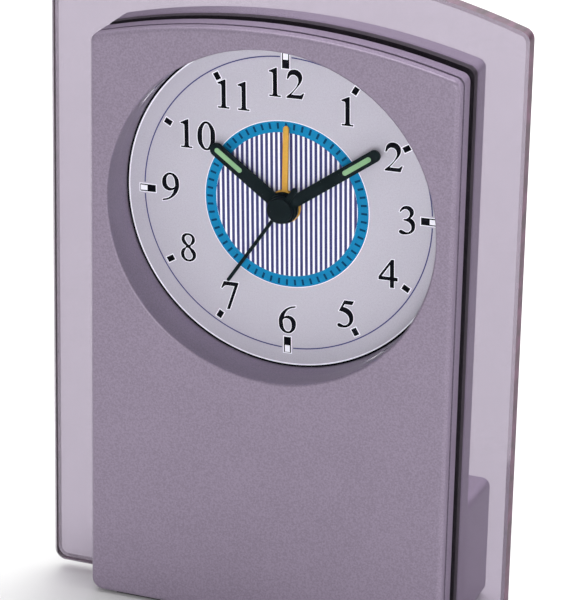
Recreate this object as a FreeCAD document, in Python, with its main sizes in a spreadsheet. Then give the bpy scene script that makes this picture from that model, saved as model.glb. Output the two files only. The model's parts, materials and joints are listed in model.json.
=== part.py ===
"""Table alarm clock: lilac case with a recessed round dial, held on a clear arched plate.

Millimetres. X runs to the right and Z up as the dial is read, and Y runs from the dial to the back.
The origin is at the bottom centre. Depths in the sheet are measured backwards from the fascia.
"""
import FreeCAD, Part
import Sketcher
import math
import os

from FreeCAD import Placement, Rotation, Vector

SIZES = [
    # case outline
    ("total_depth", 40.0), ("case_width", 92.7), ("case_floor", 0.6), ("case_peak", 153.1),
    ("case_arc", 176.0), ("case_corner", 2.4), ("base_corner", 3.0), ("case_wall", 2.2),
    # front cover
    ("cover_depth", 7.6), ("fascia_wall", 2.5), ("fascia_edge", 1.2), ("recess_radius", 41.8),
    ("recess_wall", 1.6), ("recess_edge", 0.5), ("boss_radius", 3.2),
    ("groove_depth", 2.7), ("groove_width", 1.1), ("groove_deep", 0.9),
    # dial and lens
    ("dial_height", 106.75), ("dial_depth", 12.0), ("dial_thick", 1.0), ("dial_hole", 2.1),
    ("lens_depth", 4.8), ("lens_thick", 1.2), ("lens_gap", 0.05),
    # clear plate
    ("sheet_width", 120.0), ("sheet_thick", 5.0), ("sheet_floor", 2.9), ("sheet_peak", 167.8),
    ("sheet_arc", 186.0), ("sheet_corner", 2.8), ("sheet_bore", 43.8), ("sheet_bevel", 0.7),
    # gasket and rear housing
    ("gasket_thick", 2.4), ("gasket_rim", 4.6), ("gasket_bore", 44.2), ("shell_depth", 22.8),
    ("shell_wall", 2.0), ("shell_edge", 2.0), ("foot_top", 32.2), ("foot_wall", 3.0),
    ("foot_corner", 2.2), ("window_side", 57.0), ("post_radius", 4.0),
    # case screws
    ("screw_top_x", 37.0), ("screw_top_z", 141.5), ("screw_low_x", 38.0), ("screw_low_z", 44.0),
    ("screw_shank", 1.45), ("screw_head", 2.8), ("screw_hole", 1.7), ("screw_tip_depth", 3.6),
    ("screw_seat_depth", 20.0), ("screw_head_thick", 1.8), ("screw_recess", 3.1),
    # movement screws, in its ears and through its back
    ("ear_shank", 1.15), ("ear_head", 2.3), ("ear_hole", 1.2), ("back_shank", 0.9),
    ("back_head", 1.9), ("back_head_thick", 1.2), ("back_tip", 18.5), ("cross_deep", 0.9),
    ("cross_half", 0.35),
    # rubber feet
    ("pad_width", 12.0), ("pad_left", -40.0), ("pad_right", 28.0), ("pad_front", 1.6),
    ("pad_rear", 27.0), ("pad_front_deep", 5.0), ("pad_rear_deep", 8.0),
    # battery bay
    ("cell_radius", 7.25), ("cell_length", 49.2), ("nub_radius", 2.75), ("nub_length", 1.3),
    ("cell_height", 15.6), ("cell_depth", 28.4), ("bay_left", -31.0), ("bay_right", 26.2),
    ("bay_front", 18.4), ("bay_rib", 1.2), ("door_half", 32.85), ("door_floor", 5.15),
    ("door_thick", 1.4), ("door_gap", 0.15), ("tongue", 0.9), ("tongue_thick", 0.6),
    ("grip_step", 2.2), ("grip_width", 1.0), ("grip_depth", 0.5), ("contact_thick", 0.4),
    ("contact_left", -30.6), ("contact_right", 25.3), ("contact_low", 14.4), ("contact_half", 5.0),
    ("arm_tall", 3.0), ("riser_deep", 1.7), ("coil_radius", 3.6), ("coil_wire", 0.35),
    ("coil_pitch", 1.15), ("overlap", 0.5),
    # movement
    ("movement_side", 56.0), ("movement_wall", 1.5), ("front_plate_depth", 15.6),
    ("plate_thick", 1.5), ("middle_depth", 21.8), ("middle_thick", 1.0), ("back_depth", 28.0),
    ("movement_depth", 29.5), ("flange_half", 35.0), ("pillar", 24.0), ("pillar_radius", 2.0),
    ("ear_x", 32.0), ("ear_z", 24.0), ("ear_radius", 2.6), ("fit_gap", 0.05),
    ("stand_radius", 1.5), ("stand_place", 18.0), ("collar_radius", 3.2), ("plate_half_height", 29.0),
    # pins
    ("pin_radius", 0.5), ("pin_first", 21.9), ("pin_last", 28.8), ("set_pivot", 0.6),
    ("wheel_post", 0.8), ("minute_end", 23.9), ("hour_end", 19.8), ("alarm_end", 18.4),
    ("rotor_radius", 2.2), ("rotor_first", 23.0), ("rotor_last", 26.0),
    # coaxial arbors
    ("second_radius", 0.45), ("minute_radius", 0.90), ("hour_radius", 1.35), ("alarm_radius", 1.80),
    # hands
    ("cap_depth", 6.6), ("cap_thick", 1.1), ("cap_radius", 3.2), ("minute_depth", 8.2),
    ("hour_depth", 9.2), ("alarm_depth", 10.4), ("hand_thick", 0.4), ("hub_thick", 0.6),
    ("second_length", 24.0), ("second_tail", 7.3), ("second_width", 0.85),
    ("minute_length", 30.1), ("minute_width", 3.0), ("minute_hub", 3.6), ("minute_angle", 54.2),
    ("hour_length", 22.9), ("hour_width", 3.5), ("hour_hub", 3.9), ("hour_angle", -54.4),
    ("alarm_length", 20.3), ("alarm_width", 1.4), ("alarm_hub", 4.1), ("second_angle", 213.4),
    ("lume_length", 8.4), ("lume_width", 1.25), ("lume_proud", 0.08),
    # set knobs, switch and sounder
    ("set_x", 11.27), ("set_z", -4.36), ("set_radius", 1.0), ("knob_radius", 8.0),
    ("knob_depth", 30.3), ("knob_thick", 5.0), ("board_depth", 17.0), ("board_thick", 0.8),
    ("board_height", 67.0), ("switch_travel", 4.0), ("sounder_height", 44.0), ("sounder_radius", 12.0),
]

GEARS = {
    # name: (teeth, module, first depth, last depth)
    "minute_pinion": (12, 0.35, 20.2, 21.4), "minute_wheel": (36, 0.35, 20.4, 21.2),
    "hour_pinion": (10, 0.336, 18.65, 20.4), "hour_wheel": (40, 0.336, 18.8, 19.8),
    "set_gear": (18, 0.35, 20.4, 21.2),
    "alarm_wheel": (40, 0.3775, 17.4, 18.4), "alarm_set_gear": (24, 0.3775, 17.4, 18.4),
    "second_pinion": (8, 0.27, 24.0, 25.2), "third_wheel": (60, 0.27, 24.2, 24.8),
    "third_pinion": (8, 0.255, 22.95, 23.9), "centre_wheel": (64, 0.255, 23.1, 23.7),
    "second_wheel": (48, 0.33, 25.5, 26.3), "step_pinion": (8, 0.33, 25.4, 26.4),
    "step_wheel": (40, 0.26, 26.7, 27.3), "rotor_pinion": (8, 0.26, 26.6, 27.4),
}
TOOTH_SHARE = 0.40
ADDENDUM = 0.8
DEDENDUM = 1.15
AXIS_Y = Rotation(Vector(1, 0, 0), -90)

doc = FreeCAD.newDocument("AlarmClock")
sheet = doc.addObject("Spreadsheet::Sheet", "Sizes")
for row, (alias, value) in enumerate(SIZES, start=1):
    sheet.set("A%d" % row, alias)
    sheet.set("B%d" % row, str(value))
    sheet.setAlias("B%d" % row, alias)
doc.recompute()

subparts = []


def size(alias):
    return float(sheet.get(alias))


def named(alias):
    """A sheet cell as it is written in an expression."""
    return "Sizes." + alias


def at_depth(text):
    """The Y of a depth behind the fascia, as an expression."""
    return "%s - Sizes.total_depth / 2" % text


def y_of(depth):
    return depth - size("total_depth") / 2


def subpart(obj, label):
    obj.Label = label
    subparts.append(obj)
    return obj


# ---------------------------------------------------------------- primitives bound to the sheet
def bind(obj, **expressions):
    for name, text in expressions.items():
        path = {"X": "Placement.Base.x", "Y": "Placement.Base.y", "Z": "Placement.Base.z"}.get(name, name)
        obj.setExpression(path, str(text))
    return obj


def rod(radius, depth, length, x="0", z="0"):
    """A cylinder along Y, from a depth behind the fascia."""
    obj = doc.addObject("Part::Cylinder", "Rod")
    obj.Placement = Placement(Vector(), AXIS_Y)
    return bind(obj, Radius=radius, Height=length, X=x, Y=at_depth(depth), Z=z)


def block(x, depth, z, width, length, height):
    obj = doc.addObject("Part::Box", "Block")
    return bind(obj, X=x, Y=at_depth(depth), Z=z, Length=width, Width=length, Height=height)


def slab(half, depth, middle, length, half_height):
    """A block centred on X = 0 and on a height."""
    return block("-(%s)" % half, depth, "%s - (%s)" % (middle, half_height),
                 "2 * (%s)" % half, length, "2 * (%s)" % half_height)


def fuse(*pieces):
    obj = doc.addObject("Part::MultiFuse", "Fusion")
    obj.Shapes = list(pieces)
    return obj


def cut(base, *tools):
    obj = doc.addObject("Part::Cut", "Cut")
    obj.Base = base
    obj.Tool = tools[0] if len(tools) == 1 else fuse(*tools)
    return obj


def group(*pieces):
    obj = doc.addObject("Part::Compound", "Group")
    obj.Links = list(pieces)
    return obj


def feature(shape, label):
    obj = doc.addObject("Part::Feature", "Feature")
    obj.Shape = shape
    return subpart(obj, label)


# ---------------------------------------------------------------- sketches and bodies
def new_body(label):
    body = doc.addObject("PartDesign::Body", "Body")
    return subpart(body, label)


def dial_plane(body, name, depth):
    """A sketch parallel to the dial, at a depth behind the fascia."""
    sketch = body.newObject("Sketcher::SketchObject", name)
    plane = [f for f in body.Origin.OriginFeatures if f.Role == "XZ_Plane"][0]
    sketch.AttachmentSupport = [(plane, "")]
    sketch.MapMode = "FlatFace"
    sketch.setExpression(".AttachmentOffset.Base.z", "Sizes.total_depth / 2 - (%s)" % depth)
    return sketch


def drive(sketch, constraint, name, expression):
    """Add a named constraint and bind it to the sheet."""
    index = sketch.addConstraint(constraint)
    sketch.renameConstraint(index, name)
    sketch.setExpression("Constraints." + name, expression)


def arched_outline(sketch, width, floor, peak, arc):
    """A straight-sided outline with an arched top, symmetrical about X = 0."""
    half, low, high, radius = [sketch.evalExpression(e) for e in ("(%s) / 2" % width, floor, peak, arc)]
    shoulder = high - radius + math.sqrt(radius ** 2 - half ** 2)
    centre = Vector(0, high - radius, 0)
    swing = math.acos(half / radius)
    corners = [Vector(-half, low, 0), Vector(half, low, 0), Vector(half, shoulder, 0),
               Vector(-half, shoulder, 0)]
    circle = Part.Circle(centre, Vector(0, 0, 1), radius)
    sketch.addGeometry([Part.LineSegment(corners[0], corners[1]),
                        Part.LineSegment(corners[1], corners[2]),
                        Part.ArcOfCircle(circle, swing, math.pi - swing),
                        Part.LineSegment(corners[3], corners[0])], False)
    joins = [(0, 2, 1, 1), (1, 2, 2, 1), (2, 2, 3, 1), (3, 2, 0, 1)]
    sketch.addConstraint([Sketcher.Constraint("Coincident", *join) for join in joins])
    sketch.addConstraint([Sketcher.Constraint("Horizontal", 0), Sketcher.Constraint("Vertical", 1),
                          Sketcher.Constraint("Vertical", 3),
                          Sketcher.Constraint("PointOnObject", 2, 3, -2)])
    drive(sketch, Sketcher.Constraint("DistanceX", 0, 1, 0, 2, 2 * half), "width", width)
    drive(sketch, Sketcher.Constraint("DistanceY", -1, 1, 0, 1, low), "floor", floor)
    drive(sketch, Sketcher.Constraint("Radius", 2, radius), "arc", arc)
    drive(sketch, Sketcher.Constraint("DistanceY", 2, 3, -1, 1, radius - high), "drop",
          "%s - (%s)" % (arc, peak))


def circle_outline(sketch, places, radius):
    """Equal circles, each at (x, z)."""
    for index, (x, z) in enumerate(places):
        values = [sketch.evalExpression(e) for e in (x, z, radius)]
        sketch.addGeometry(Part.Circle(Vector(values[0], values[1], 0), Vector(0, 0, 1), values[2]))
        drive(sketch, Sketcher.Constraint("Radius", index, values[2]), "radius%d" % index, radius)
        if abs(values[0]) < 1e-9:
            sketch.addConstraint(Sketcher.Constraint("PointOnObject", index, 3, -2))
        else:
            sign = 1 if values[0] > 0 else -1
            ends = (-1, 1, index, 3) if sign > 0 else (index, 3, -1, 1)
            drive(sketch, Sketcher.Constraint("DistanceX", *ends, abs(values[0])), "x%d" % index,
                  x if sign > 0 else "-(%s)" % x)
        drive(sketch, Sketcher.Constraint("DistanceY", -1, 1, index, 3, values[1]), "z%d" % index, z)


def pad(body, sketch, name, length):
    """Material from the sketch backwards."""
    result = body.newObject("PartDesign::Pad", name)
    result.Profile = sketch
    result.Reversed = True
    result.setExpression("Length", length)
    doc.recompute()
    return result


def pocket(body, sketch, name, length):
    """A cut from the sketch backwards."""
    before = body.Shape.Volume
    result = body.newObject("PartDesign::Pocket", name)
    result.Profile = sketch
    result.setExpression("Length", length)
    doc.recompute()
    if body.Shape.Volume >= before - 1e-6:
        raise RuntimeError("pocket %s cuts nothing" % name)
    return result


def round_edges(body, base, name, picks, radius):
    result = body.newObject("PartDesign::Fillet", name)
    result.Base = (base, ["Edge%d" % (i + 1) for i, e in enumerate(base.Shape.Edges) if picks(e)])
    result.setExpression("Radius", radius)
    doc.recompute()
    if not result.isValid():
        raise RuntimeError("fillet %s failed" % name)
    return result


def along_y(edge):
    if len(edge.Vertexes) < 2 or edge.Curve.TypeId != "Part::GeomLine":
        return False
    span = edge.Vertexes[1].Point - edge.Vertexes[0].Point
    return abs(span.x) < 1e-6 and abs(span.z) < 1e-6


def lies_at(edge, depth):
    return all(abs(v.Point.y - y_of(depth)) < 1e-6 for v in edge.Vertexes)


def case_places():
    places = []
    for x, z in (("screw_top_x", "screw_top_z"), ("screw_low_x", "screw_low_z")):
        places += [(named(x), named(z)), ("-" + named(x), named(z))]
    return places


def outline_body(label, prefix, first, length, top, low):
    """An arched block with rounded top and bottom corners."""
    body = new_body(label)
    sketch = dial_plane(body, "Outline", first)
    arched_outline(sketch, named(prefix + "_width"), named(prefix + "_floor"),
                   named(prefix + "_peak"), named(prefix + "_arc"))
    base = pad(body, sketch, "Block", length)
    half_way = size(prefix + "_peak") / 2
    base = round_edges(body, base, "TopCorners", lambda e: along_y(e) and e.Vertexes[0].Z > half_way, top)
    base = round_edges(body, base, "LowCorners", lambda e: along_y(e) and e.Vertexes[0].Z < 10
                       and abs(e.Vertexes[0].X) > size(prefix + "_width") / 2 - 0.01, low)
    return body, base


def inset_outline(sketch, inset):
    arched_outline(sketch, "Sizes.case_width - 2 * (%s)" % inset, "Sizes.case_floor + %s" % inset,
                   "Sizes.case_peak - %s" % inset, "Sizes.case_arc - %s" % inset)


DIAL = [("0", named("dial_height"))]


# ---------------------------------------------------------------- case
def make_front_cover():
    body, base = outline_body("cover_shell", "case", "0", named("cover_depth"),
                              named("case_corner"), named("base_corner"))
    round_edges(body, base, "FasciaEdge", lambda e: lies_at(e, 0), named("fascia_edge"))
    hollow = dial_plane(body, "Hollow", named("fascia_wall"))
    inset_outline(hollow, named("case_wall"))
    pocket(body, hollow, "HollowCut", "Sizes.cover_depth - Sizes.fascia_wall")
    rim = dial_plane(body, "RecessRim", "Sizes.fascia_wall - Sizes.overlap")
    circle_outline(rim, DIAL, "Sizes.recess_radius + Sizes.recess_wall")
    pad(body, rim, "RecessTube", "Sizes.dial_depth - Sizes.fascia_wall + Sizes.overlap")
    bosses = dial_plane(body, "Bosses", "Sizes.fascia_wall - Sizes.overlap")
    circle_outline(bosses, case_places(), named("boss_radius"))
    pad(body, bosses, "ScrewBosses", "Sizes.cover_depth - Sizes.fascia_wall + Sizes.overlap")
    pilots = dial_plane(body, "Pilots", named("screw_tip_depth"))
    circle_outline(pilots, case_places(), named("screw_shank"))
    pocket(body, pilots, "PilotHoles", "Sizes.cover_depth - Sizes.screw_tip_depth")
    bore = dial_plane(body, "RecessBore", "0")
    circle_outline(bore, DIAL, named("recess_radius"))
    base = pocket(body, bore, "RecessCut", named("dial_depth"))
    round_edges(body, base, "RecessEdge", lambda e: e.Curve.TypeId == "Part::GeomCircle" and lies_at(e, 0)
                and abs(e.Curve.Radius - size("recess_radius")) < 0.01, named("recess_edge"))
    subparts.remove(body)
    subpart(cut(body, cover_groove(body.Shape)), "front_cover")


def cover_groove(shell):
    """The joint line that runs round the cover, just behind the fascia."""
    first, wide, deep = size("groove_depth"), size("groove_width"), size("groove_deep")
    back = [f for f in shell.Faces if all(lies_at(e, size("cover_depth")) for e in f.Edges)]
    outline = Part.Face(max((f.OuterWire for f in back), key=lambda wire: wire.Length))
    outline.translate(Vector(0, first - size("cover_depth"), 0))
    band = outline.makeOffset2D(1).cut(outline.makeOffset2D(-deep))
    groove = doc.addObject("Part::Feature", "Groove")
    groove.Shape = band.extrude(Vector(0, wide, 0))
    return groove


def make_clear_plate():
    body, base = outline_body("acrylic_plate", "sheet", named("cover_depth"), named("sheet_thick"),
                              named("sheet_corner"), named("sheet_corner"))
    bore = dial_plane(body, "DialBore", named("cover_depth"))
    circle_outline(bore, DIAL, named("sheet_bore"))
    pocket(body, bore, "DialCut", named("sheet_thick"))
    holes = dial_plane(body, "Holes", named("cover_depth"))
    circle_outline(holes, case_places(), named("screw_hole"))
    base = pocket(body, holes, "ScrewHoles", named("sheet_thick"))
    bevel = body.newObject("PartDesign::Chamfer", "PolishedEdge")
    front, back = size("cover_depth"), size("cover_depth") + size("sheet_thick")
    outer = size("sheet_width") / 2 - size("sheet_corner") - 1
    rim = ["Edge%d" % (i + 1) for i, e in enumerate(base.Shape.Edges)
           if (lies_at(e, front) or lies_at(e, back))
           and max(abs(e.BoundBox.XMin), abs(e.BoundBox.XMax)) > outer]
    bevel.Base = (base, rim)
    bevel.setExpression("Size", named("sheet_bevel"))
    doc.recompute()


def make_gasket():
    first = "Sizes.cover_depth + Sizes.sheet_thick"
    body, _ = outline_body("gasket", "case", first, named("gasket_thick"), named("case_corner"),
                           named("base_corner"))
    inner = dial_plane(body, "Inner", first)
    inset_outline(inner, named("gasket_rim"))
    pocket(body, inner, "InnerCut", named("gasket_thick"))
    bore = dial_plane(body, "DialBore", first)
    circle_outline(bore, DIAL, named("gasket_bore"))
    pocket(body, bore, "DialCut", named("gasket_thick"))
    posts = dial_plane(body, "Posts", first)
    circle_outline(posts, case_places(), "Sizes.post_radius + Sizes.door_gap")
    pocket(body, posts, "PostCut", named("gasket_thick"))


def make_dial():
    disc = rod("Sizes.recess_radius + Sizes.recess_wall", named("dial_depth"), named("dial_thick"),
               z=named("dial_height"))
    hole = rod(named("dial_hole"), named("dial_depth"), named("dial_thick"), z=named("dial_height"))
    subpart(cut(disc, hole), "dial_plate")
    lens = rod("Sizes.recess_radius - Sizes.lens_gap", named("lens_depth"), named("lens_thick"),
               z=named("dial_height"))
    subpart(lens, "lens")


def make_rear_housing():
    first = "Sizes.cover_depth + Sizes.sheet_thick + Sizes.gasket_thick"
    body, base = outline_body("housing_shell", "case", first, "Sizes.shell_depth - (%s)" % first,
                              named("case_corner"), named("base_corner"))
    round_edges(body, base, "RearEdge", lambda e: lies_at(e, size("shell_depth")), named("shell_edge"))
    foot = dial_plane(body, "Foot", first)
    foot_outline(foot, "0")
    base = pad(body, foot, "FootBlock", "Sizes.total_depth - (%s)" % first)
    base = round_edges(body, base, "FootCorners", lambda e: along_y(e) and lies_beyond(e, size("shell_depth"))
                       and abs(e.Vertexes[0].X) > size("case_width") / 2 - 0.01, named("foot_corner"))
    round_edges(body, base, "FootEdge", lambda e: lies_at(e, size("total_depth")), "Sizes.shell_edge / 2")
    hollow = dial_plane(body, "ShellHollow", first)
    inset_outline(hollow, named("case_wall"))
    pocket(body, hollow, "ShellHollowCut", "Sizes.shell_depth - Sizes.shell_wall - (%s)" % first)
    hollow = dial_plane(body, "FootHollow", first)
    foot_outline(hollow, named("case_wall"))
    pocket(body, hollow, "FootHollowCut", "Sizes.total_depth - Sizes.foot_wall - (%s)" % first)
    return body


def lies_beyond(edge, depth):
    return max(v.Point.y for v in edge.Vertexes) > y_of(depth) + 0.5


def foot_outline(sketch, inset):
    """The rectangle of the foot, inset on every side."""
    half = sketch.evalExpression("Sizes.case_width / 2 - (%s)" % inset)
    low = sketch.evalExpression("Sizes.case_floor + (%s)" % inset)
    high = sketch.evalExpression("Sizes.foot_top - (%s)" % inset)
    points = [Vector(-half, low, 0), Vector(half, low, 0), Vector(half, high, 0), Vector(-half, high, 0)]
    sketch.addGeometry([Part.LineSegment(points[i], points[(i + 1) % 4]) for i in range(4)], False)
    sketch.addConstraint([Sketcher.Constraint("Coincident", i, 2, (i + 1) % 4, 1) for i in range(4)])
    sketch.addConstraint([Sketcher.Constraint("Horizontal", 2), Sketcher.Constraint("Vertical", 1),
                          Sketcher.Constraint("Vertical", 3),
                          Sketcher.Constraint("Symmetric", 0, 1, 0, 2, -2)])
    drive(sketch, Sketcher.Constraint("DistanceX", 0, 1, 0, 2, 2 * half), "width",
          "Sizes.case_width - 2 * (%s)" % inset)
    drive(sketch, Sketcher.Constraint("DistanceY", -1, 1, 0, 1, low), "floor",
          "Sizes.case_floor + (%s)" % inset)
    drive(sketch, Sketcher.Constraint("DistanceY", -1, 1, 2, 1, high), "top",
          "Sizes.foot_top - (%s)" % inset)


def finish_rear_housing(shell):
    """Posts and ribs added to the moulded shell, then its windows, slots and holes."""
    subparts.remove(shell)
    adds, cuts = [shell], []
    for make in (housing_posts, housing_bay, housing_channel, housing_openings):
        more, holes = make()
        adds += more
        cuts += holes
    subpart(cut(fuse(*adds), *cuts), "rear_housing")


SHELL_INSIDE = "Sizes.shell_depth - Sizes.shell_wall + Sizes.overlap"


def housing_posts():
    """Screw posts for the cover and for the movement's ears, and pegs for the circuit board."""
    first = "Sizes.cover_depth + Sizes.sheet_thick"
    seat = "Sizes.front_plate_depth + Sizes.plate_thick"
    board = "Sizes.board_depth + Sizes.board_thick"
    adds, cuts = [], []
    for x, z in case_places():
        adds.append(rod(named("post_radius"), first, "%s - (%s)" % (SHELL_INSIDE, first), x, z))
        cuts.append(rod(named("screw_hole"), first, named("shell_depth"), x, z))
        cuts.append(rod(named("screw_recess"), named("screw_seat_depth"), "5", x, z))
    for x in (named("ear_x"), "-" + named("ear_x")):
        for z in (named("ear_z"), "-" + named("ear_z")):
            height = "Sizes.dial_height + " + z
            adds.append(rod(named("ear_radius"), seat, "%s - (%s)" % (SHELL_INSIDE, seat), x, height))
            cuts.append(rod(named("ear_hole"), seat, "3.4", x, height))
    for x in ("-23", "23"):
        adds.append(rod("1.6", board, "%s - (%s)" % (SHELL_INSIDE, board), x, named("board_height")))
    return adds, cuts


def housing_bay():
    """Three ribs round the battery, and the window behind it."""
    low = "Sizes.case_floor + Sizes.case_wall - 0.2"
    tall = "Sizes.foot_top - Sizes.case_floor - 2 * Sizes.case_wall + 0.4"
    end = "Sizes.total_depth - Sizes.foot_wall + 0.2"
    adds = [block("Sizes.bay_left - Sizes.bay_rib", named("bay_front"), low,
                  "Sizes.bay_right - Sizes.bay_left + 2 * Sizes.bay_rib", named("bay_rib"), tall)]
    for x in ("Sizes.bay_left - Sizes.bay_rib", named("bay_right")):
        adds.append(block(x, named("bay_front"), low, named("bay_rib"), "%s - Sizes.bay_front" % end, tall))
    window = block("Sizes.bay_left + 1", "Sizes.total_depth - Sizes.foot_wall - 1", "7",
                   "Sizes.bay_right - Sizes.bay_left - 2", "8", "19")
    return adds, [window]


def housing_channel():
    """The recess that the battery door slides in, and the grooves for its tongues."""
    first = "Sizes.total_depth - Sizes.door_thick - 2 * Sizes.door_gap"
    low, above = "Sizes.door_floor - Sizes.door_gap", "40"
    half = "(Sizes.door_half + Sizes.door_gap)"
    groove = "(Sizes.door_half + Sizes.door_gap + Sizes.tongue)"
    return [], [block("-" + half, first, low, "2 * " + half, "5", above),
                block("-" + groove, first, low, "2 * " + groove, "Sizes.tongue_thick + 2 * Sizes.door_gap",
                      above)]


def housing_openings():
    """The movement's window, the switch slot, the contact slots and the sounder's grille and ring."""
    cuts = [slab("Sizes.window_side / 2", "Sizes.shell_depth - Sizes.shell_wall - 1",
                 named("dial_height"), "10", "Sizes.window_side / 2"),
            block("-Sizes.switch_travel / 2 - 1.8", "Sizes.shell_depth - 4", "Sizes.board_height - 1.5",
                  "Sizes.switch_travel + 3.6", "8", "3")]
    for x in (named("contact_left"), named("contact_right")):
        cuts.append(block("%s - 0.3" % x, "Sizes.bay_front - 1", "Sizes.contact_low - 0.8",
                          "1.2", "4", "4.6"))
    for step in range(-3, 4):
        half = 7.5 - abs(step) * 1.4
        low = "Sizes.sounder_height + %s" % (step * 2.6 - 0.6)
        cuts.append(block(str(-half), "Sizes.shell_depth - 3", low, str(2 * half), "6", "1.2"))
    ring = cut(rod("Sizes.sounder_radius + 1.6", "18.6", "2.6", z=named("sounder_height")),
               rod("Sizes.sounder_radius + Sizes.fit_gap", "18.6", "2.6", z=named("sounder_height")))
    return [ring], cuts


def cross_screw(x, z, seat, head_thick, head_radius, shank_radius, tip):
    """A pan-head screw that is driven from the back."""
    head = rod(head_radius, seat, head_thick, x, z)
    shank = rod(shank_radius, tip, "%s - (%s)" % (seat, tip), x, z)
    top = "%s + %s" % (seat, head_thick)
    deep, arm, thin = named("cross_deep"), "(%s) * 0.6" % head_radius, named("cross_half")
    slot_a = block("%s - %s" % (x, arm), "%s - %s" % (top, deep), "%s - %s" % (z, thin),
                   "2 * " + arm, deep, "2 * " + thin)
    slot_b = block("%s - %s" % (x, thin), "%s - %s" % (top, deep), "%s - %s" % (z, arm),
                   "2 * " + thin, deep, "2 * " + arm)
    return cut(fuse(head, shank), slot_a, slot_b)


def make_screws():
    case = [cross_screw(x, z, named("screw_seat_depth"), named("screw_head_thick"), named("screw_head"),
                        named("screw_shank"), named("screw_tip_depth")) for x, z in case_places()]
    subpart(group(*case), "case_screws")
    ears, backs = [], []
    for sx in ("", "-"):
        for sz in ("", "-"):
            ears.append(ear_screw(sx + named("ear_x"), "Sizes.dial_height + " + sz + named("ear_z")))
            backs.append(cross_screw(sx + named("pillar"), "Sizes.dial_height + " + sz + named("pillar"),
                                     named("movement_depth"), named("back_head_thick"), named("back_head"),
                                     named("back_shank"), named("back_tip")))
    subpart(group(*ears), "movement_screws")
    subpart(group(*backs), "back_screws")


def ear_screw(x, z):
    """A slotted screw that holds one ear of the movement, driven from the front."""
    top = "Sizes.front_plate_depth - 1"
    head = rod(named("ear_head"), top, "1", x, z)
    shank = rod(named("ear_shank"), named("front_plate_depth"), "4.6", x, z)
    slot = block("%s - 1.6" % x, top, "%s - 0.3" % z, "3.2", "0.5", "0.6")
    return cut(fuse(head, shank), slot)


def make_feet():
    pads = []
    for x in (named("pad_left"), named("pad_right")):
        for first, deep in (("pad_front", "pad_front_deep"), ("pad_rear", "pad_rear_deep")):
            pads.append(block(x, named(first), "0", named("pad_width"), named(deep), named("case_floor")))
    subpart(group(*pads), "rubber_feet")


# ---------------------------------------------------------------- battery bay
def make_battery():
    length = "Sizes.cell_length"
    start = "-(Sizes.cell_length + Sizes.nub_length) / 2"
    cell = doc.addObject("Part::Cylinder", "CellBody")
    cell.Placement = Placement(Vector(), Rotation(Vector(0, 1, 0), 90))
    bind(cell, Radius=named("cell_radius"), Height=length, X=start, Y=at_depth(named("cell_depth")),
         Z=named("cell_height"))
    nub = doc.addObject("Part::Cylinder", "CellNub")
    nub.Placement = Placement(Vector(), Rotation(Vector(0, 1, 0), 90))
    bind(nub, Radius=named("nub_radius"), Height=named("nub_length"), X="%s + %s" % (start, length),
         Y=at_depth(named("cell_depth")), Z=named("cell_height"))
    subpart(fuse(cell, nub), "battery_cell")


def contact_strip(x):
    """An end plate in the bay, an arm through the bay wall and a riser to the circuit board."""
    thick, low = named("contact_thick"), named("contact_low")
    first = "Sizes.board_depth - Sizes.contact_thick"
    plate = block(x, "Sizes.cell_depth - Sizes.contact_half", "Sizes.cell_height - Sizes.contact_half", thick,
                  "2 * Sizes.contact_half", "2 * Sizes.contact_half")
    arm = block(x, first, low, thick, "Sizes.cell_depth - Sizes.board_depth - 4", named("arm_tall"))
    riser = block(x, first, low, thick, named("riser_deep"), "Sizes.board_height - 8.6 - Sizes.contact_low")
    return fuse(plate, arm, riser)


def make_contacts():
    subpart(contact_strip(named("contact_right")), "contact_positive")
    minus = contact_strip(named("contact_left"))
    doc.recompute()
    wire, radius = size("coil_wire"), size("coil_radius")
    plate_face = size("contact_left") + size("contact_thick")
    cell_end = -(size("cell_length") + size("nub_length")) / 2
    helix = Part.makeHelix(size("coil_pitch"), cell_end - plate_face - 2 * wire - 0.15, radius)
    profile = Part.Wire(Part.makeCircle(wire, Vector(radius, 0, 0), Vector(0, 1, 0)))
    coil = Part.Wire(helix).makePipeShell([profile], True, True)
    coil.Placement = Placement(Vector(plate_face + wire - 0.1, y_of(size("cell_depth")), size("cell_height")),
                               Rotation(Vector(0, 1, 0), 90))
    feature(minus.Shape.fuse(coil), "contact_negative")


def make_door():
    thick = named("door_thick")
    first = "Sizes.total_depth - Sizes.door_thick"
    leaf = block("-" + named("door_half"), first, named("door_floor"), "2 * Sizes.door_half", thick,
                 "Sizes.foot_top - Sizes.door_floor")
    tongues = block("-Sizes.door_half - Sizes.tongue + Sizes.door_gap", first, named("door_floor"),
                    "2 * (Sizes.door_half + Sizes.tongue - Sizes.door_gap)", named("tongue_thick"),
                    "Sizes.foot_top - Sizes.door_floor - 2")
    grips = [block("-12", "Sizes.total_depth - Sizes.grip_depth",
                   "Sizes.foot_top - 5 - %d * Sizes.grip_step" % step, "24", "1", named("grip_width"))
             for step in range(5)]
    subpart(cut(fuse(leaf, tongues), *grips), "battery_door")


# ---------------------------------------------------------------- gears
def gear_wire(teeth, module, phase):
    """The outline of a gear in the XZ plane: three points up each flank of a tapering tooth."""
    pitch_radius = teeth * module / 2
    pitch_angle = 2 * math.pi / teeth
    stations = [(pitch_radius - DEDENDUM * module, 0.62), (pitch_radius - 0.3 * module, 0.48),
                (pitch_radius, TOOTH_SHARE), (pitch_radius + ADDENDUM * module, 0.18)]
    points = []
    for tooth in range(teeth):
        centre = math.radians(phase) + tooth * pitch_angle
        flanks = [(r, -share / 2) for r, share in stations]
        flanks += [(r, share / 2) for r, share in reversed(stations)]
        for radius, share in flanks:
            angle = centre + share * pitch_angle
            points.append(Vector(radius * math.cos(angle), 0, radius * math.sin(angle)))
    return Part.makePolygon(points + [points[0]])


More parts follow.
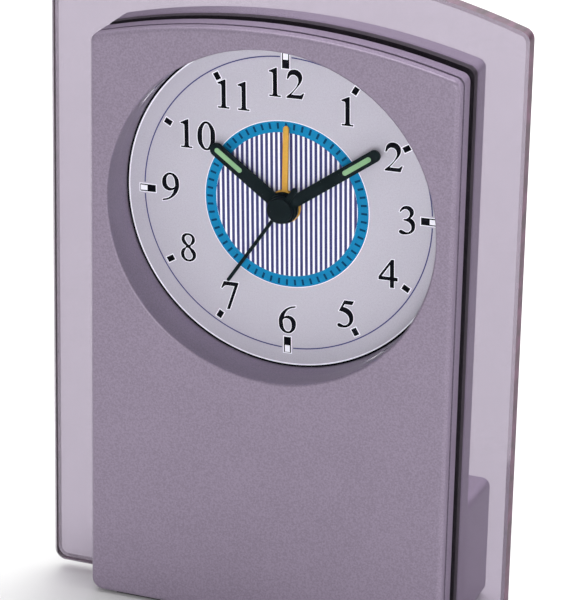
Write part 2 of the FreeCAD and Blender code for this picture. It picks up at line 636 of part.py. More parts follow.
def gear_solid(name, place, phase):
    teeth, module, first, last = GEARS[name]
    solid = Part.Face(gear_wire(teeth, module, phase)).extrude(Vector(0, last - first, 0))
    solid.translate(Vector(place[0], y_of(first), size("dial_height") + place[1]))
    return solid


def shaft(radius, first, last, place):
    base = Vector(place[0], y_of(first), size("dial_height") + place[1])
    return Part.makeCylinder(radius, last - first, base, Vector(0, 1, 0))


def through(radius, place):
    """A bore right through the clock."""
    return shaft(radius, 0, size("total_depth"), place)


def square(radius, first, last, half):
    """Four equal rods at the corners of a square about the dial's centre."""
    return [shaft(radius, first, last, (sx * half, sz * half)) for sx in (-1, 1) for sz in (-1, 1)]


def mesh_phase(driver, driver_phase, follower, angle):
    """The follower's tooth angle when it meshes at rest; angle runs from driver to follower."""
    driver_pitch, follower_pitch = 360 / GEARS[driver][0], 360 / GEARS[follower][0]
    share = ((angle - driver_phase) % driver_pitch) / driver_pitch
    return angle + 180 + (share + 0.5) * follower_pitch


def distance_of(one, other):
    return (GEARS[one][0] * GEARS[one][1] + GEARS[other][0] * GEARS[other][1]) / 2


def polar(origin, distance, angle):
    return (origin[0] + distance * math.cos(math.radians(angle)),
            origin[1] + distance * math.sin(math.radians(angle)))


CENTRE = (0.0, 0.0)
TIME_SET = (-size("set_x"), size("set_z"))
ALARM_SET = (size("set_x"), size("set_z"))


def minute_wheel_place():
    """The arbor that meshes with both the minute pinion and the set gear."""
    reach = math.hypot(*TIME_SET)
    near = distance_of("minute_pinion", "minute_wheel")
    far = distance_of("minute_wheel", "set_gear")
    corner = math.acos((near ** 2 + reach ** 2 - far ** 2) / (2 * near * reach))
    bearing = math.degrees(math.atan2(TIME_SET[1], TIME_SET[0]) - corner)
    return polar(CENTRE, near, bearing), bearing


def bearing_of(start, end):
    return math.degrees(math.atan2(end[1] - start[1], end[0] - start[0]))


THIRD = polar(CENTRE, distance_of("second_pinion", "third_wheel"), 90)
STEP = polar(CENTRE, distance_of("second_wheel", "step_pinion"), -90)
ROTOR = polar(STEP, distance_of("step_wheel", "rotor_pinion"), -90)
MINUTE_WHEEL, MINUTE_WHEEL_BEARING = minute_wheel_place()


def make_motion_work():
    """The minute, hour and alarm tubes with their wheels, and the set arbors."""
    gap = size("fit_gap")
    wheel_phase = mesh_phase("minute_pinion", 0, "minute_wheel", MINUTE_WHEEL_BEARING)
    minute = shaft(size("minute_radius"), size("minute_depth") - 0.2, size("minute_end"), CENTRE)
    minute = minute.fuse(gear_solid("minute_pinion", CENTRE, 0))
    feature(minute.cut(through(size("second_radius") + gap, CENTRE)), "minute_arbor")
    wheel = gear_solid("minute_wheel", MINUTE_WHEEL, wheel_phase)
    wheel = wheel.fuse(gear_solid("hour_pinion", MINUTE_WHEEL, 0))
    feature(wheel.cut(through(size("wheel_post") + gap, MINUTE_WHEEL)), "minute_wheel")
    hour_phase = mesh_phase("hour_pinion", 0, "hour_wheel", MINUTE_WHEEL_BEARING + 180)
    hour = shaft(size("hour_radius"), size("hour_depth") - 0.1, size("hour_end"), CENTRE)
    hour = hour.fuse(gear_solid("hour_wheel", CENTRE, hour_phase))
    feature(hour.cut(through(size("minute_radius") + gap, CENTRE)), "hour_wheel")
    alarm = shaft(size("alarm_radius"), size("alarm_depth") - 0.2, size("alarm_end"), CENTRE)
    alarm = alarm.fuse(gear_solid("alarm_wheel", CENTRE, 0))
    feature(alarm.cut(through(size("hour_radius") + gap, CENTRE)), "alarm_wheel")
    set_bearing = bearing_of(MINUTE_WHEEL, TIME_SET)
    make_set_arbor("time_set_arbor", "set_gear", TIME_SET,
                   mesh_phase("minute_wheel", wheel_phase, "set_gear", set_bearing))
    make_set_arbor("alarm_set_arbor", "alarm_set_gear", ALARM_SET,
                   mesh_phase("alarm_wheel", 0, "alarm_set_gear", bearing_of(CENTRE, ALARM_SET)))


def make_set_arbor(label, gear, place, phase):
    neck = size("front_plate_depth") + size("plate_thick") + 0.1
    arbor = shaft(size("set_pivot"), size("front_plate_depth") + 0.3, neck, place)
    arbor = arbor.fuse(shaft(size("set_radius"), neck, size("knob_depth") + 3, place))
    feature(arbor.fuse(gear_solid(gear, place, phase)), label)


def make_knob(label, place):
    """A round knob with a milled rim and a raised finger bar."""
    teeth, first = 40, size("knob_depth")
    module = 2 * size("knob_radius") / (teeth + 2 * ADDENDUM)
    rim = Part.Face(gear_wire(teeth, module, 0)).extrude(Vector(0, size("knob_thick") - 1.6, 0))
    rim.translate(Vector(place[0], y_of(first), size("dial_height") + place[1]))
    core = shaft(size("knob_radius") - 1.1, first, first + size("knob_thick") - 1.0, place)
    bar = Part.makeBox(11.0, 1.6, 2.2, Vector(place[0] - 5.5, y_of(first + size("knob_thick") - 1.6),
                                              size("dial_height") + place[1] - 1.1))
    knob = rim.fuse([core, bar]).cut(shaft(size("set_radius"), first, first + 3, place))
    feature(knob, label)


def make_going_train():
    """The second arbor, third wheel, centre wheel, step wheel and rotor."""
    second = shaft(size("second_radius"), size("cap_depth") + 0.4, size("pin_last"), CENTRE)
    second = second.fuse([gear_solid("second_pinion", CENTRE, 0), gear_solid("second_wheel", CENTRE, 0)])
    feature(second, "second_arbor")
    pinned("third_wheel", THIRD, gear_solid("third_pinion", THIRD, 0),
           gear_solid("third_wheel", THIRD, mesh_phase("second_pinion", 0, "third_wheel", 90)))
    centre = gear_solid("centre_wheel", CENTRE, mesh_phase("third_pinion", 0, "centre_wheel", -90))
    feature(centre.cut(through(size("minute_radius") + size("fit_gap"), CENTRE)), "centre_wheel")
    pinned("step_wheel", STEP, gear_solid("step_wheel", STEP, 0),
           gear_solid("step_pinion", STEP, mesh_phase("second_wheel", 0, "step_pinion", -90)))
    pinned("rotor", ROTOR, shaft(size("rotor_radius"), size("rotor_first"), size("rotor_last"), ROTOR),
           gear_solid("rotor_pinion", ROTOR, mesh_phase("step_wheel", 0, "rotor_pinion", -90)))


def pinned(label, place, *solids):
    """Gears on a thin pin that turns in the middle plate and the back."""
    pin = shaft(size("pin_radius"), size("pin_first"), size("pin_last"), place)
    feature(pin.fuse(list(solids)), label)


# ---------------------------------------------------------------- movement frame
def square_box(half, first, last):
    """A square block about the dial's centre."""
    corner = Vector(-half, y_of(first), size("dial_height") - half)
    return Part.makeBox(2 * half, last - first, 2 * half, corner)


def make_front_plate():
    """The plate with ears, four stand-offs to the dial, a collar and four pillars."""
    front, seat = size("front_plate_depth"), size("front_plate_depth") + size("plate_thick")
    dial_rear = size("dial_depth") + size("dial_thick")
    gap, tall, flange = size("fit_gap"), size("plate_half_height"), size("flange_half")
    plate = Part.makeBox(2 * flange, seat - front, 2 * tall,
                         Vector(-flange, y_of(front), size("dial_height") - tall))
    plate = plate.fuse(square(size("stand_radius"), dial_rear, front, size("stand_place"))
                       + square(size("pillar_radius"), seat, size("middle_depth"), size("pillar"))
                       + [shaft(size("collar_radius"), dial_rear + 0.1, front, CENTRE)])
    holes = [through(size("alarm_radius") + gap, CENTRE)]
    holes += [through(size("set_pivot") + gap, place) for place in (TIME_SET, ALARM_SET)]
    holes += [through(size("ear_shank"), (sx * size("ear_x"), sz * size("ear_z")))
              for sx in (-1, 1) for sz in (-1, 1)]
    holes += square(size("back_shank"), size("back_tip"), size("movement_depth"), size("pillar"))
    feature(plate.cut(holes), "movement_front_plate")


def bearings(first, last):
    """Clearance holes for the three pins and the two set arbors."""
    gap = size("fit_gap")
    holes = [shaft(size("pin_radius") + gap, first, last, place) for place in (THIRD, STEP, ROTOR)]
    return holes + [shaft(size("set_radius") + gap, first, size("total_depth"), place)
                    for place in (TIME_SET, ALARM_SET)]


def make_middle_plate():
    """The deck between the motion work and the going train, with the minute wheel's post."""
    middle = size("middle_depth")
    half = size("movement_side") / 2 - size("movement_wall") - 0.3
    deck = square_box(half, middle, middle + size("middle_thick"))
    deck = deck.fuse(shaft(size("wheel_post"), GEARS["hour_pinion"][2] - 0.1, middle, MINUTE_WHEEL))
    holes = [through(size("minute_radius") + size("fit_gap"), CENTRE)]
    holes += bearings(middle - 1, size("back_depth"))
    holes += square(size("back_shank"), size("back_tip"), size("movement_depth"), size("pillar"))
    feature(deck.cut(holes), "movement_middle_plate")


def make_movement_case():
    """The deep back of the movement, with four posts and blind bearings in its floor."""
    seat, back = size("front_plate_depth") + size("plate_thick"), size("back_depth")
    deep, floor = size("movement_depth"), size("pin_last") + 0.1
    half = size("movement_side") / 2
    tub = square_box(half, seat, deep)
    tub = tub.makeFillet(1.0, [e for e in tub.Edges if lies_at(e, deep) or along_y(e)])
    tub = tub.cut(square_box(half - size("movement_wall"), seat, back))
    tub = tub.fuse(square(size("pillar_radius"), size("middle_depth") + size("middle_thick"),
                          back + size("overlap"), size("pillar")))
    holes = [shaft(size("second_radius") + size("fit_gap"), back - 1, floor, CENTRE)]
    holes += bearings(back - 1, floor)
    holes += square(size("back_shank"), size("back_tip"), deep + 1, size("pillar"))
    feature(tub.cut(holes), "movement_case")


def make_motor():
    """The stator plate, its core, the bobbin and the winding."""
    height = size("dial_height")

    def bar(x, depth, z, width, length, tall):
        return Part.makeBox(width, length, tall, Vector(x, y_of(depth), height + z))

    plate = bar(-14, 24.0, -19, 28, 0.8, 7)
    plate = plate.fuse([bar(-14, 24.0, -25, 4, 0.8, 6), bar(10, 24.0, -25, 4, 0.8, 6),
                        bar(-14, 24.8, -24.3, 28, 1.2, 3)])
    feature(plate.cut(shaft(2.7, 20, 27, ROTOR)), "stator")
    axis = Vector(1, 0, 0)

    def spool(radius, x, length):
        return Part.makeCylinder(radius, length, Vector(x, y_of(25.4), height - 22.8), axis)

    core = bar(-14, 24.8, -24.3, 28, 1.2, 3)
    bobbin = spool(1.9, -9.8, 19.6).fuse([spool(2.55, -9.8, 1.0), spool(2.55, 8.8, 1.0)])
    feature(bobbin.cut(core), "coil_bobbin")
    feature(spool(2.4, -8.8, 17.6).cut(spool(1.9, -8.8, 17.6)), "coil_winding")


def make_electronics():
    depth, thick = size("board_depth"), size("board_thick")
    height = size("board_height")

    def on_board(x, z, width, tall, deep, front=True):
        first = depth - deep if front else depth + thick
        return Part.makeBox(width, deep, tall, Vector(x, y_of(first), height + z))

    board = Part.makeBox(63, thick, 17.2, Vector(-31.5, y_of(depth), height - 8.6))
    feature(board, "circuit_board")
    feature(Part.makeSphere(3.0, Vector(-8, y_of(depth) - 0.6, height)).common(
        on_board(-12, -4, 8, 8, 1.6)), "chip")
    can = Part.makeCylinder(1.0, 6.0, Vector(6, y_of(depth) - 1.0, height + 3), Vector(1, 0, 0))
    feature(can, "crystal")
    cans = [Part.makeCylinder(2.0, 4.0, Vector(x, y_of(depth) - 4.0, height - 3.5), Vector(0, 1, 0))
            for x in (2.5, 16.0)]
    feature(Part.makeCompound(cans), "capacitors")
    strips = [on_board(x, -1.2, 2.6, 2.4, 0.3, front=False) for x in (-5.6, -1.3, 3.0)]
    feature(Part.makeCompound(strips), "switch_contacts")
    disc = Part.makeCylinder(size("sounder_radius"), 0.25, Vector(0, y_of(19.6), size("sounder_height")),
                             Vector(0, 1, 0))
    ceramic = Part.makeCylinder(size("sounder_radius") - 3, 0.25,
                                Vector(0, y_of(19.35), size("sounder_height")), Vector(0, 1, 0))
    feature(disc, "sounder_disc")
    feature(ceramic, "sounder_ceramic")


def make_switch():
    """The sliding button of the alarm switch: cap outside, stem in the slot, slider inside."""
    rest = "-Sizes.switch_travel / 2"
    cap = block("%s - 4" % rest, "Sizes.shell_depth + 0.3", "Sizes.board_height - 2.6", "8", "2", "5.2")
    stem = block("%s - 1.5" % rest, "20.4", "Sizes.board_height - 1.3", "3", "2.9", "2.6")
    slider = block("%s - 4" % rest, "18.5", "Sizes.board_height - 3", "8", "2", "6")
    ribs = [block("%s + %s" % (rest, x), "Sizes.shell_depth + 1.8", "Sizes.board_height - 3", "0.7", "1", "6")
            for x in ("-2.75", "-1.05", "0.65", "2.35")]
    subpart(cut(fuse(cap, stem, slider), *ribs), "alarm_switch")


# ---------------------------------------------------------------- hands
def baton(width, start, end, first, thick):
    """A round-ended bar that points up from the dial centre."""
    base = size("dial_height")
    bar = Part.makeBox(width, thick, end - width / 2 - start, Vector(-width / 2, y_of(first), base + start))
    tip = Part.makeCylinder(width / 2, thick, Vector(0, y_of(first), base + end - width / 2), Vector(0, 1, 0))
    return bar.fuse(tip)


def turned(shape, angle):
    """Clockwise about the dial centre, as the dial is read."""
    result = shape.copy()
    result.rotate(Vector(0, 0, size("dial_height")), Vector(0, 1, 0), angle)
    return result


def make_hand(name, hub, bore, inset):
    """A baton hand with a slot that holds the luminous insert."""
    first, angle = size(name + "_depth"), size(name + "_angle")
    thick, end = size("hand_thick"), size(name + "_length")
    wide = size("lume_width")
    disc = shaft(hub, first, first + size("hub_thick"), CENTRE)
    hand = baton(size(name + "_width"), 0, end, first, thick).fuse(disc)
    hand = hand.cut(shaft(bore, 0, 20, CENTRE))
    top, low = end - inset, end - inset - size("lume_length")
    slot = baton(wide, low + wide / 2, top, first - size("lume_proud"), thick)
    slot = slot.fuse(shaft(wide / 2, first - size("lume_proud"), first - size("lume_proud") + thick,
                           (0, low + wide / 2)))
    hand = hand.cut(slot)
    feature(turned(hand, angle), name + "_hand")
    feature(turned(slot, angle), name + "_lume")


def make_hands():
    make_hand("minute", size("minute_hub"), size("minute_radius"), 2.6)
    make_hand("hour", size("hour_hub"), size("hour_radius"), 1.3)
    first = size("alarm_depth")
    alarm = baton(size("alarm_width"), 0, size("alarm_length"), first, size("hand_thick"))
    alarm = alarm.fuse(shaft(size("alarm_hub"), first, first + size("hub_thick"), CENTRE))
    feature(alarm.cut(shaft(size("alarm_radius"), 0, 20, CENTRE)), "alarm_hand")
    first, thick = size("cap_depth"), size("cap_thick")
    cap = shaft(size("cap_radius"), first, first + thick, CENTRE)
    cap = cap.makeFillet(0.35, [e for e in cap.Edges if lies_at(e, first)])
    needle = baton(size("second_width"), 0, size("second_length"), first + 0.7, 0.3)
    tail = turned(baton(size("second_width") + 0.6, 0, size("second_tail"), first + 0.7, 0.3), 180)
    hand = turned(cap.fuse([needle, tail]), size("second_angle"))
    feature(hand.cut(shaft(size("second_radius"), first + 0.4, first + thick, CENTRE)), "second_hand")


# ---------------------------------------------------------------- build, check and write
make_front_cover()
make_clear_plate()
make_gasket()
make_dial()
finish_rear_housing(make_rear_housing())
make_screws()
make_feet()
make_battery()
make_contacts()
make_door()
make_front_plate()
make_middle_plate()
make_movement_case()
make_motion_work()
make_going_train()
make_knob("time_set_knob", TIME_SET)
make_knob("alarm_set_knob", ALARM_SET)
make_motor()
make_electronics()
make_switch()
make_hands()
doc.recompute()

for obj in doc.Objects:
    if "Invalid" in obj.State or "Error" in obj.State:
        raise RuntimeError("%s (%s) failed: %s" % (obj.Name, obj.Label, obj.State))
os.makedirs("parts", exist_ok=True)
for part in subparts:
    shape = part.Shape
    if shape.isNull() or not shape.isValid():
        raise RuntimeError("%s has no valid shape" % part.Label)
    shape.exportStep("parts/%s.step" % part.Label)
    print("%-22s solids %2d volume %9.1f" % (part.Label, len(shape.Solids), shape.Volume))
print(len(subparts), "sub-parts")
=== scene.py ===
"""Table alarm clock: lilac metallic case with a recessed dial, on a clear arched plate."""
import json
import math

import bmesh
import bpy
from mathutils import Matrix, Vector


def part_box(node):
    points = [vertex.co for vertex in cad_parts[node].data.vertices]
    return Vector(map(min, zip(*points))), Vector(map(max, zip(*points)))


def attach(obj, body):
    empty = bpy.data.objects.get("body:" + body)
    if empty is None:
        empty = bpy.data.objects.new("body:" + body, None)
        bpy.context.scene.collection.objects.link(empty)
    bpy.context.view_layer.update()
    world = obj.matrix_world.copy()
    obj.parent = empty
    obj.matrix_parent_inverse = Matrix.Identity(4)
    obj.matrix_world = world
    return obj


MM = 0.001
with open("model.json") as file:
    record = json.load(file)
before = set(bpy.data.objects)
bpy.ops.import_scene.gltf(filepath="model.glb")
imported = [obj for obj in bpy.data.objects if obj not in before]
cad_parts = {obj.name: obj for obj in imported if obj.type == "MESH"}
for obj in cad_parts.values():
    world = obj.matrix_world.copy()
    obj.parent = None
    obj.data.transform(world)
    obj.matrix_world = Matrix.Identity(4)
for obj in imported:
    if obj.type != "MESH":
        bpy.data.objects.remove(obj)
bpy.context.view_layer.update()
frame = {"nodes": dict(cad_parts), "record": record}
nodes = frame["nodes"]

# ---------------------------------------------------------------- the dial's own frame
dial_low, dial_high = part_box("dial_plate")
DIAL_X = (dial_low.x + dial_high.x) / 2
DIAL_Z = (dial_low.z + dial_high.z) / 2
DIAL_Y = dial_low.y
PRINT_TURN = math.radians(1.5)
RING_RADIUS = 37.0
RING_WIDTH = 0.30
DISC_RADIUS = 21.0
STRIPE_RADIUS = 18.2
STRIPE_PITCH = 1.26
NUMERAL_HEIGHT = 7.0
# Inks lie in layers this far apart, and each is thinner than that, so none touches the next.
LAYER = 0.025
INK_THICKNESS = LAYER * 0.6


def dial_matrix(lift):
    """Dial millimetres (x right, y up) to the row frame, lift millimetres in front of the dial."""
    place = Matrix.Translation((DIAL_X, DIAL_Y - lift * MM, DIAL_Z))
    upright = Matrix.Rotation(math.radians(90), 4, "X")
    return place @ upright @ Matrix.Rotation(PRINT_TURN, 4, "Z") @ Matrix.Scale(MM, 4)


# ---------------------------------------------------------------- shader helpers
class Shader:
    """A new material with its Principled shader and short calls for the nodes it needs."""

    def __init__(self, name, colour, roughness, metallic=0.0, **sockets):
        self.material = bpy.data.materials.new(name)
        self.material.use_nodes = True
        self.tree = self.material.node_tree
        self.bsdf = self.tree.nodes["Principled BSDF"]
        self.colour = tuple(colour) + (1.0,)
        self.bsdf.inputs["Base Color"].default_value = self.colour
        self.bsdf.inputs["Roughness"].default_value = roughness
        self.bsdf.inputs["Metallic"].default_value = metallic
        for socket, value in sockets.items():
            self.bsdf.inputs[socket.replace("_", " ")].default_value = value
        self.coordinates = self.add("ShaderNodeTexCoord").outputs["Object"]

    def add(self, kind, **settings):
        """A new node of that kind with its properties set."""
        node = self.tree.nodes.new(kind)
        for key, value in settings.items():
            setattr(node, key, value)
        return node

    def link(self, start, end):
        """Joins an output socket to an input socket."""
        self.tree.links.new(start, end)

    def noise(self, size_mm, detail=3.0, stretch=(1, 1, 1)):
        """Noise with features about size_mm across, from 0 to 1."""
        mapping = self.add("ShaderNodeMapping")
        mapping.inputs["Scale"].default_value = stretch
        self.link(self.coordinates, mapping.inputs["Vector"])
        noise = self.add("ShaderNodeTexNoise")
        noise.inputs["Scale"].default_value = 1 / (size_mm * MM)
        noise.inputs["Detail"].default_value = detail
        self.link(mapping.outputs["Vector"], noise.inputs["Vector"])
        return noise.outputs["Fac"]

    def ramp(self, value, stops):
        """Colours at the given places from 0 to 1."""
        ramp = self.add("ShaderNodeValToRGB")
        elements = ramp.color_ramp.elements
        while len(elements) < len(stops):
            elements.new(0.5)
        for element, (place, colour) in zip(elements, stops):
            element.position = place
            element.color = tuple(colour) + (1.0,)
        self.link(value, ramp.inputs["Fac"])
        return ramp.outputs["Color"]

    def map_range(self, value, start, end, low, high):
        """The value carried from start..end to low..high, and held at those ends."""
        span = self.add("ShaderNodeMapRange")
        for socket, limit in (("From Min", start), ("From Max", end), ("To Min", low), ("To Max", high)):
            span.inputs[socket].default_value = limit
        self.link(value, span.inputs["Value"])
        return span.outputs["Result"]

    def mix(self, kind, factor, first, second):
        """first where the factor is 0 and second where it is 1; kind is FLOAT or RGBA."""
        mix = self.add("ShaderNodeMix", data_type=kind)
        for socket, value in (("Factor", factor), ("A", first), ("B", second)):
            if isinstance(value, bpy.types.NodeSocket):
                self.link(value, mix.inputs[socket])
            else:
                mix.inputs[socket].default_value = value
        return mix.outputs["Result"]

    def coordinate(self, axis):
        """X, Y or Z in the row frame, in metres."""
        place = self.add("ShaderNodeSeparateXYZ")
        self.link(self.coordinates, place.inputs["Vector"])
        return place.outputs[axis]

    def compare(self, operation, value, limit):
        """1 where the value is greater, or less, than the limit, and 0 elsewhere."""
        test = self.add("ShaderNodeMath", operation=operation)
        test.inputs[1].default_value = limit
        self.link(value, test.inputs[0])
        return test.outputs["Value"]

    def multiply(self, first, second):
        """The product of two sockets, which for masks is where both are 1."""
        product = self.add("ShaderNodeMath", operation="MULTIPLY")
        self.link(first, product.inputs[0])
        self.link(second, product.inputs[1])
        return product.outputs["Value"]

    def vary_colour(self, value, spread, low=0.3, high=0.7):
        """Base colour from (1 - spread) to (1 + spread) of its own value."""
        dark = [c * (1 - spread) for c in self.colour[:3]]
        light = [min(1.0, c * (1 + spread)) for c in self.colour[:3]]
        colour = self.ramp(value, [(low, dark), (high, light)])
        self.link(colour, self.bsdf.inputs["Base Color"])
        return colour

    def vary_roughness(self, value, low, high):
        """Roughness from low, where the value is 0, to high, where it is 1."""
        self.link(self.map_range(value, 0, 1, low, high), self.bsdf.inputs["Roughness"])

    def bump(self, value, depth_mm, strength=1.0):
        """Shading relief depth_mm deep from a value of 0 to 1."""
        bump = self.add("ShaderNodeBump")
        bump.inputs["Distance"].default_value = depth_mm * MM
        bump.inputs["Strength"].default_value = strength
        self.link(value, bump.inputs["Height"])
        self.link(bump.outputs["Normal"], self.bsdf.inputs["Normal"])


# How much of the paint's colour change comes from slow mottling; the rest is flake grain.
CLOUD_SHARE = 0.12


def metallic_paint(name, colour, grain=0.13, metallic=0.35, roughness=0.42, groove_shaded=False):
    """Sprayed metallic lacquer: fine flake grain, slow mottling and a soft orange peel."""
    shader = Shader(name, colour, roughness, metallic)
    flakes = shader.noise(0.42, detail=8.0)
    clouds = shader.noise(18.0, detail=2.0)
    grains = shader.mix("FLOAT", CLOUD_SHARE, flakes, clouds)
    paint = shader.vary_colour(grains, grain, low=0.36, high=0.64)
    # The cover's joint groove gets painted shade, a near-black band.
    if groove_shaded:
        darken_groove(shader, paint)
    shader.vary_roughness(flakes, roughness - 0.06, roughness + 0.08)
    shader.bump(flakes, 0.012, 0.6)
    return shader.material


# The groove's depths behind the cover's front, and a radius round the dial that leaves out the recess.
GROOVE_FIRST, GROOVE_LAST = 2.72, 3.78
GROOVE_RADIUS = 44.2
# Near-black painted shade for the joint groove round the cover.
GROOVE_SHADE_COLOUR = (0.02, 0.014, 0.022, 1.0)


def darken_groove(shader, paint):
    """The joint groove round the cover is painted nearly black: painted shade in the groove."""
    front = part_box("front_cover")[0].y
    depth = shader.coordinate("Y")
    behind = shader.compare("GREATER_THAN", depth, front + GROOVE_FIRST * MM)
    ahead = shader.compare("LESS_THAN", depth, front + GROOVE_LAST * MM)
    outside = shader.compare("GREATER_THAN", dial_distance(shader), GROOVE_RADIUS * MM)
    inside = shader.multiply(shader.multiply(behind, ahead), outside)
    # Painted shade: inside the groove's band of depths, away from the recess, the paint turns near black.
    colour = shader.mix("RGBA", inside, paint, GROOVE_SHADE_COLOUR)
    shader.link(colour, shader.bsdf.inputs["Base Color"])


def dial_distance(shader):
    """Distance from the dial's axis, in metres."""
    level = shader.add("ShaderNodeVectorMath", operation="MULTIPLY")
    level.inputs[1].default_value = (1, 0, 1)
    shader.link(shader.coordinates, level.inputs[0])
    away = shader.add("ShaderNodeVectorMath", operation="DISTANCE")
    away.inputs[1].default_value = (DIAL_X, 0, DIAL_Z)
    shader.link(level.outputs["Vector"], away.inputs[0])
    return away.outputs["Value"]


def moulded(name, colour, roughness=0.5, texture_mm=0.35, depth_mm=0.008, spread=0.06):
    """Injection-moulded plastic with a fine spark-eroded texture."""
    shader = Shader(name, colour, roughness)
    texture = shader.noise(texture_mm, detail=4.0)
    shader.vary_colour(shader.noise(6.0, detail=3.0), spread)
    shader.vary_roughness(texture, roughness - 0.05, roughness + 0.07)
    shader.bump(texture, depth_mm, 0.6)
    return shader.material


def bare_metal(name, colour, roughness=0.3, brush=(1, 1, 1), brush_mm=0.4):
    """Plated or rolled metal with a directional or even grain."""
    shader = Shader(name, colour, roughness, metallic=1.0)
    grain = shader.noise(brush_mm, detail=5.0, stretch=brush)
    shader.vary_colour(grain, 0.08)
    shader.vary_roughness(grain, roughness - 0.08, roughness + 0.12)
    shader.bump(grain, 0.003, 0.5)
    return shader.material


def ink(name, colour, roughness=0.5):
    """Screen-printed ink: nearly even, with a slightly uneven film."""
    shader = Shader(name, colour, roughness, Specular_IOR_Level=0.05)
    film = shader.noise(0.7, detail=3.0)
    shader.vary_colour(film, 0.05)
    shader.vary_roughness(film, roughness - 0.06, roughness + 0.06)
    return shader.material


def clear_sheet(name, tint, roughness=0.02, ior=1.49, rim_shade_tint=None):
    """Clear plastic that lets lamps and daylight through instead of casting a hard shadow.

    With a rim tint, the faces that don't look along Y, the plate's rim, are painted darker, streaked and
    cloudy: painted shade for the long path through the tinted plastic.
    """
    shader = Shader(name, tint, roughness, IOR=ior, Transmission_Weight=1.0)
    if rim_shade_tint:
        shade_rim(shader, tint, rim_shade_tint)
    clear = shader.add("ShaderNodeBsdfTransparent")
    clear.inputs["Color"].default_value = tuple(tint) + (1.0,)
    path = shader.add("ShaderNodeLightPath")
    mix = shader.add("ShaderNodeMixShader")
    output = shader.tree.nodes["Material Output"]
    shader.link(path.outputs["Is Shadow Ray"], mix.inputs["Fac"])
    shader.link(shader.bsdf.outputs["BSDF"], mix.inputs[1])
    shader.link(clear.outputs["BSDF"], mix.inputs[2])
    shader.link(mix.outputs["Shader"], output.inputs["Surface"])
    return shader.material


# The rim of the clear plate, painted darker as shade for the long path through the tinted plastic. A face is
# flat when its normal is this near to Y.
RIM_CLEARNESS = 0.06
RIM_ROUGHNESS = 0.38
RIM_SHINE, FULL_SHINE = 0.12, 0.5
FLAT_FROM, FLAT_TO = 0.35, 0.95


def shade_rim(shader, tint, rim_shade_tint):
    """The clear tint on flat faces, and a darker, cloudy streaked colour where a face looks up or sideways:
    painted shade for the long path through the tinted plastic.
    """
    flat = shader.map_range(facing_front(shader), FLAT_FROM, FLAT_TO, 0, 1)
    smooth = shader.bsdf.inputs["Roughness"].default_value
    streaks = shader.ramp(shader.noise(1.6, detail=5.0, stretch=(1, 0.35, 0.6)), [
        (0.35, [c * 0.55 for c in rim_shade_tint]), (0.66, [c * 1.7 for c in rim_shade_tint])])
    body = shader.ramp(shader.noise(1.2, detail=5.0), [
        (0.3, [c * 0.975 for c in tint]), (0.7, [c * 1.02 for c in tint])])
    shader.link(shader.mix("RGBA", flat, streaks, body), shader.bsdf.inputs["Base Color"])
    clearness = shader.map_range(flat, 0, 1, RIM_CLEARNESS, 1)
    shader.link(clearness, shader.bsdf.inputs["Transmission Weight"])
    shine = shader.map_range(flat, 0, 1, RIM_SHINE, FULL_SHINE)
    shader.link(shine, shader.bsdf.inputs["Specular IOR Level"])
    shader.vary_roughness(flat, RIM_ROUGHNESS, smooth)


def facing_front(shader):
    """1 where a face looks along Y, either way, and 0 where it looks up or sideways."""
    normal = shader.add("ShaderNodeSeparateXYZ")
    shader.link(shader.add("ShaderNodeNewGeometry").outputs["Normal"], normal.inputs["Vector"])
    facing = shader.add("ShaderNodeMath", operation="ABSOLUTE")
    shader.link(normal.outputs["Y"], facing.inputs[0])
    return facing.outputs["Value"]


def winding():
    """Enamelled copper wire laid in close turns round the bobbin."""
    shader = Shader("copper_winding", (0.55, 0.20, 0.07), 0.32, metallic=1.0)
    turns = shader.add("ShaderNodeTexWave", wave_type="BANDS", bands_direction="X")
    turns.inputs["Scale"].default_value = 1 / (2 * math.pi * 0.12 * MM)
    turns.inputs["Distortion"].default_value = 0.4
    shader.link(shader.coordinates, turns.inputs["Vector"])
    shader.vary_colour(turns.outputs["Fac"], 0.35, 0.1, 0.9)
    shader.bump(turns.outputs["Fac"], 0.04, 0.8)
    return shader.material


def board_mask():
    """Green solder mask with paler copper tracks under it."""
    shader = Shader("solder_mask", (0.02, 0.16, 0.05), 0.35)
    tracks = shader.add("ShaderNodeTexBrick")
    tracks.inputs["Color1"].default_value = (0.02, 0.15, 0.05, 1)
    tracks.inputs["Color2"].default_value = (0.02, 0.19, 0.06, 1)
    tracks.inputs["Mortar"].default_value = (0.05, 0.30, 0.12, 1)
    tracks.inputs["Scale"].default_value = 1 / (9 * MM)
    tracks.inputs["Mortar Size"].default_value = 0.03
    turn = shader.add("ShaderNodeMapping")
    turn.inputs["Rotation"].default_value = (math.radians(-90), 0, 0)
    shader.link(shader.coordinates, turn.inputs["Vector"])
    shader.link(turn.outputs["Vector"], tracks.inputs["Vector"])
    shader.link(tracks.outputs["Color"], shader.bsdf.inputs["Base Color"])
    shader.bump(tracks.outputs["Fac"], 0.03, 0.5)
    return shader.material


def cell_sleeve():
    """The battery's shrink sleeve: a dark body with a copper-coloured band at the plus end."""
    shader = Shader("cell_sleeve", (0.05, 0.05, 0.055), 0.3, metallic=0.6)
    low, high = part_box("battery_cell")
    along = shader.map_range(shader.coordinate("X"), low.x, high.x, 0, 1)
    steel, dark, copper = (0.62, 0.62, 0.64), (0.035, 0.035, 0.04), (0.62, 0.30, 0.12)
    colour = shader.ramp(along, [(0.0, steel), (0.02, dark), (0.70, copper), (0.965, steel)])
    colour.node.color_ramp.interpolation = "CONSTANT"
    shader.link(colour, shader.bsdf.inputs["Base Color"])
    shader.bump(shader.noise(2.5), 0.01, 0.3)
    return shader.material


